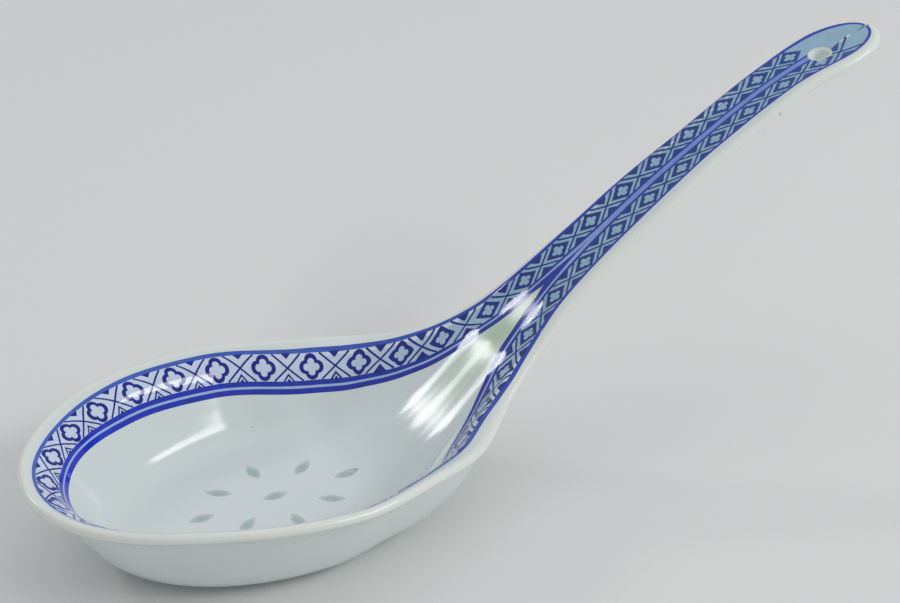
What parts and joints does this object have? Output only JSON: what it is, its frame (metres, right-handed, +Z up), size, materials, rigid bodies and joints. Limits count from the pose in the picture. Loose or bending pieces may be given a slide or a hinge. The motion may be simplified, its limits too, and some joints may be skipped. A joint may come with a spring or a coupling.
{
  "type": "chinese spoon",
  "caption": "Serving spoon of blue-and-white porcelain: oval bowl with clear rice-grain windows, fired lattice border, flat foot and a long rising handle with a hanging hole.",
  "frame": {"origin": "on the flat foot, at its middle, below the widest place of the bowl", "axes": "+X along the spoon from the bowl to the end of the handle, +Y to the side, +Z up out of the bowl; y = 0 is the plane of symmetry"},
  "size_m": [0.2162, 0.0792, 0.0864],
  "materials": {
    "glazed_porcelain": "high-gloss clear glaze over cool white porcelain, unglazed on the flat foot",
    "cobalt_print": "cobalt blue print fired under the same clear gloss glaze",
    "window_glaze": "translucent clear glaze that fills the pierced openings"
  },
  "bodies": {
    "root": {"porcelain_body": "glazed_porcelain", "edge_line": "cobalt_print", "lattice_band": "cobalt_print", "inner_line": "cobalt_print", "heart_line": "cobalt_print", "grain_window_1": "window_glaze", "grain_window_2": "window_glaze", "grain_window_3": "window_glaze", "grain_window_4": "window_glaze", "grain_window_5": "window_glaze", "grain_window_6": "window_glaze", "grain_window_7": "window_glaze", "grain_window_8": "window_glaze", "grain_window_9": "window_glaze"}
  },
  "joints": []
}
